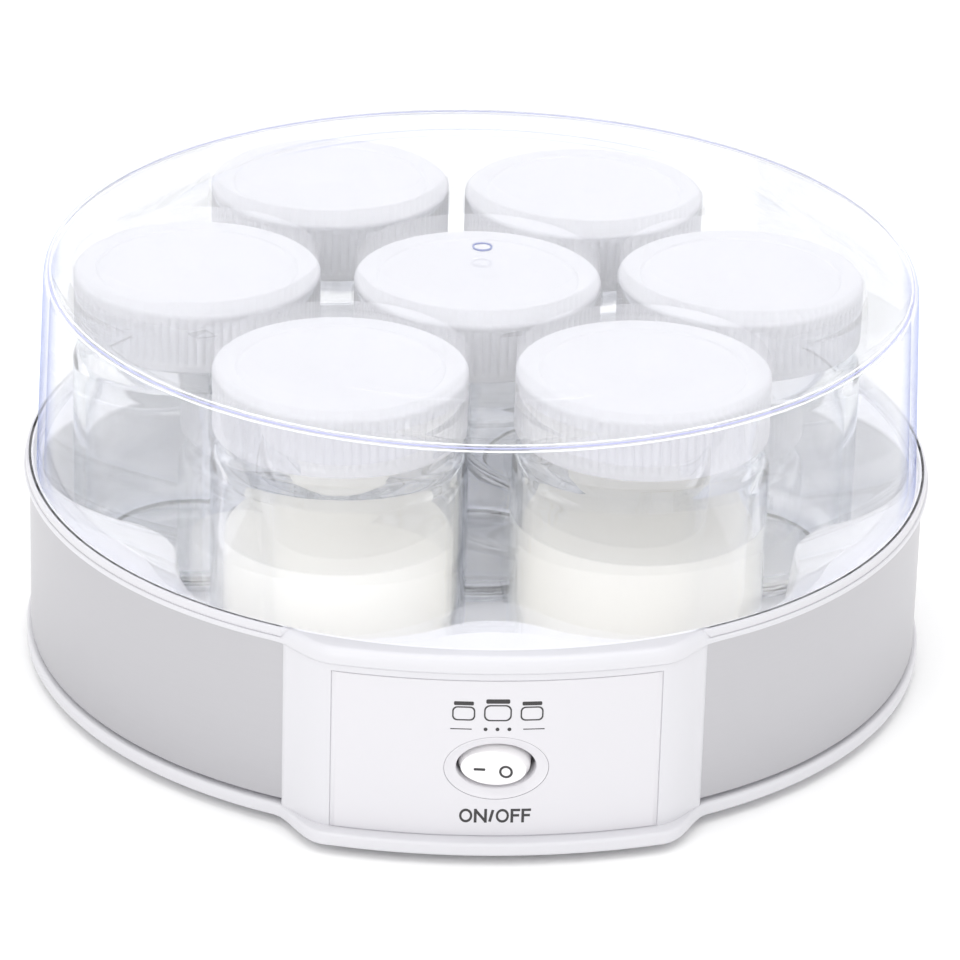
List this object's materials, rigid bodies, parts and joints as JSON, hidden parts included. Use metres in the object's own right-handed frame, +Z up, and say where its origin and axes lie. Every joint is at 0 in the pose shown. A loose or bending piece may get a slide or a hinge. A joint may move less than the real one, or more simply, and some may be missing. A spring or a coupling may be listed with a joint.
{
  "type": "yogurt maker",
  "caption": "Round electric yogurt maker: a heated casing with a lobed bowl that holds screw-lid glass jars under a clear domed cover.",
  "frame": {"origin": "on the casing's axis, level with the underside of the feet", "axes": "+Z up along the casing's axis; -Y towards the control panel; +Y towards the cord inlet; +X to the right seen from the front"},
  "size_m": [0.245, 0.2612, 0.1158],
  "materials": {
    "white_plastic": "smooth satin moulding",
    "label_film": "smooth printed film",
    "switch_plastic": "polished",
    "lid_plastic": "satin, ribbed",
    "liner_foam": "closed-cell foam",
    "clear_plastic": "clear polished plastic, slightly blue at the edges",
    "jar_glass": "clear pressed glass",
    "yogurt": "set milk, soft sheen",
    "brushed_steel": "fine brushing along the band",
    "foot_rubber": "matt",
    "zinc": "bright zinc",
    "brass": "plain",
    "aluminium": "rolled",
    "element_steel": "dull sheath",
    "brown_phenolic": "moulded",
    "wire_pvc": "soft",
    "bush_plastic": "satin"
  },
  "bodies": {
    "base": {"base_shell": "white_plastic", "bottom_plate": "white_plastic", "rubber_feet": "foot_rubber", "base_screws": "zinc", "jar_tray": "white_plastic", "steel_band": "brushed_steel", "control_panel": "white_plastic", "label_plate": "label_film", "switch_housing": "switch_plastic", "switch_pin": "zinc", "switch_terminals": "brass", "heater_plate": "aluminium", "heater_element": "element_steel", "element_clamps": "zinc", "thermostat": "brown_phenolic", "thermal_fuse": "brown_phenolic", "terminal_block": "white_plastic", "internal_wires": "wire_pvc", "cord_bush": "bush_plastic", "cord_clamp": "white_plastic", "clamp_screws": "zinc"},
    "rocker": {"switch_rocker": "switch_plastic"},
    "cover": {"clear_cover": "clear_plastic"},
    "jar_centre": {"jar_centre": "jar_glass"},
    "liner_centre": {"liner_centre": "liner_foam"},
    "lid_centre": {"lid_centre": "lid_plastic"},
    "jar_right": {"jar_right": "jar_glass"},
    "liner_right": {"liner_right": "liner_foam"},
    "lid_right": {"lid_right": "lid_plastic"},
    "jar_back_right": {"jar_back_right": "jar_glass"},
    "liner_back_right": {"liner_back_right": "liner_foam"},
    "lid_back_right": {"lid_back_right": "lid_plastic"},
    "jar_back_left": {"jar_back_left": "jar_glass"},
    "liner_back_left": {"liner_back_left": "liner_foam"},
    "lid_back_left": {"lid_back_left": "lid_plastic"},
    "jar_left": {"jar_left": "jar_glass"},
    "liner_left": {"liner_left": "liner_foam"},
    "lid_left": {"lid_left": "lid_plastic"},
    "jar_front_left": {"jar_front_left": "jar_glass", "yogurt_left": "yogurt"},
    "liner_front_left": {"liner_front_left": "liner_foam"},
    "lid_front_left": {"lid_front_left": "lid_plastic"},
    "jar_front_right": {"jar_front_right": "jar_glass", "yogurt_right": "yogurt"},
    "liner_front_right": {"liner_front_right": "liner_foam"},
    "lid_front_right": {"lid_front_right": "lid_plastic"}
  },
  "joints": [
    {"name": "cover_lift", "type": "slide", "parent": "base", "child": "cover", "axis": [0, 0, 1], "range_m": [0, 0.22]},
    {"name": "switch_tip", "type": "hinge", "parent": "base", "child": "rocker", "pos_m": [0, -0.1205, 0.0258], "axis": [0, 0, 1], "range_deg": [0, 14]},
    {"name": "centre_jar_lift", "type": "slide", "parent": "base", "child": "jar_centre", "axis": [0, 0, 1], "range_m": [0, 0.088]},
    {"name": "centre_lid_rise", "type": "slide", "parent": "jar_centre", "child": "liner_centre", "axis": [0, 0, 1], "range_m": [0, 0.055]},
    {"name": "centre_lid_turn", "type": "hinge", "parent": "liner_centre", "child": "lid_centre", "pos_m": [-0.00112, -0.00166, 0.1], "axis": [0, 0, 1], "range_deg": [0, 540]},
    {"name": "right_jar_lift", "type": "slide", "parent": "base", "child": "jar_right", "axis": [0, 0, 1], "range_m": [0, 0.088]},
    {"name": "right_lid_rise", "type": "slide", "parent": "jar_right", "child": "liner_right", "axis": [0, 0, 1], "range_m": [0, 0.055]},
    {"name": "right_lid_turn", "type": "hinge", "parent": "liner_right", "child": "lid_right", "pos_m": [0.0695, 0, 0.1], "axis": [0, 0, 1], "range_deg": [0, 540]},
    {"name": "back_right_jar_lift", "type": "slide", "parent": "base", "child": "jar_back_right", "axis": [0, 0, 1], "range_m": [0, 0.088]},
    {"name": "back_right_lid_rise", "type": "slide", "parent": "jar_back_right", "child": "liner_back_right", "axis": [0, 0, 1], "range_m": [0, 0.055]},
    {"name": "back_right_lid_turn", "type": "hinge", "parent": "liner_back_right", "child": "lid_back_right", "pos_m": [0.03117, 0.05987, 0.1], "axis": [0, 0, 1], "range_deg": [0, 540]},
    {"name": "back_left_jar_lift", "type": "slide", "parent": "base", "child": "jar_back_left", "axis": [0, 0, 1], "range_m": [0, 0.088]},
    {"name": "back_left_lid_rise", "type": "slide", "parent": "jar_back_left", "child": "liner_back_left", "axis": [0, 0, 1], "range_m": [0, 0.055]},
    {"name": "back_left_lid_turn", "type": "hinge", "parent": "liner_back_left", "child": "lid_back_left", "pos_m": [-0.03908, 0.06635, 0.1], "axis": [0, 0, 1], "range_deg": [0, 540]},
    {"name": "left_jar_lift", "type": "slide", "parent": "base", "child": "jar_left", "axis": [0, 0, 1], "range_m": [0, 0.088]},
    {"name": "left_lid_rise", "type": "slide", "parent": "jar_left", "child": "liner_left", "axis": [0, 0, 1], "range_m": [0, 0.055]},
    {"name": "left_lid_turn", "type": "hinge", "parent": "liner_left", "child": "lid_left", "pos_m": [-0.0759, 0.00398, 0.1], "axis": [0, 0, 1], "range_deg": [0, 540]},
    {"name": "front_left_jar_lift", "type": "slide", "parent": "base", "child": "jar_front_left", "axis": [0, 0, 1], "range_m": [0, 0.088]},
    {"name": "front_left_lid_rise", "type": "slide", "parent": "jar_front_left", "child": "liner_front_left", "axis": [0, 0, 1], "range_m": [0, 0.055]},
    {"name": "front_left_lid_turn", "type": "hinge", "parent": "liner_front_left", "child": "lid_front_left", "pos_m": [-0.03895, -0.06115, 0.1], "axis": [0, 0, 1], "range_deg": [0, 540]},
    {"name": "front_right_jar_lift", "type": "slide", "parent": "base", "child": "jar_front_right", "axis": [0, 0, 1], "range_m": [0, 0.088]},
    {"name": "front_right_lid_rise", "type": "slide", "parent": "jar_front_right", "child": "liner_front_right", "axis": [0, 0, 1], "range_m": [0, 0.055]},
    {"name": "front_right_lid_turn", "type": "hinge", "parent": "liner_front_right", "child": "lid_front_right", "pos_m": [0.03895, -0.06233, 0.1], "axis": [0, 0, 1], "range_deg": [0, 540]}
  ],
  "couplings": [
    {"joint": "centre_jar_lift", "follows": "cover_lift", "ratio": 0.4},
    {"joint": "centre_lid_rise", "follows": "cover_lift", "ratio": 0.25},
    {"joint": "centre_lid_turn", "follows": "cover_lift", "rad_per_m": 42.83},
    {"joint": "right_jar_lift", "follows": "cover_lift", "ratio": 0.4},
    {"joint": "right_lid_rise", "follows": "cover_lift", "ratio": 0.25},
    {"joint": "right_lid_turn", "follows": "cover_lift", "rad_per_m": 42.83},
    {"joint": "back_right_jar_lift", "follows": "cover_lift", "ratio": 0.4},
    {"joint": "back_right_lid_rise", "follows": "cover_lift", "ratio": 0.25},
    {"joint": "back_right_lid_turn", "follows": "cover_lift", "rad_per_m": 42.83},
    {"joint": "back_left_jar_lift", "follows": "cover_lift", "ratio": 0.4},
    {"joint": "back_left_lid_rise", "follows": "cover_lift", "ratio": 0.25},
    {"joint": "back_left_lid_turn", "follows": "cover_lift", "rad_per_m": 42.83},
    {"joint": "left_jar_lift", "follows": "cover_lift", "ratio": 0.4},
    {"joint": "left_lid_rise", "follows": "cover_lift", "ratio": 0.25},
    {"joint": "left_lid_turn", "follows": "cover_lift", "rad_per_m": 42.83},
    {"joint": "front_left_jar_lift", "follows": "cover_lift", "ratio": 0.4},
    {"joint": "front_left_lid_rise", "follows": "cover_lift", "ratio": 0.25},
    {"joint": "front_left_lid_turn", "follows": "cover_lift", "rad_per_m": 42.83},
    {"joint": "front_right_jar_lift", "follows": "cover_lift", "ratio": 0.4},
    {"joint": "front_right_lid_rise", "follows": "cover_lift", "ratio": 0.25},
    {"joint": "front_right_lid_turn", "follows": "cover_lift", "rad_per_m": 42.83}
  ]
}
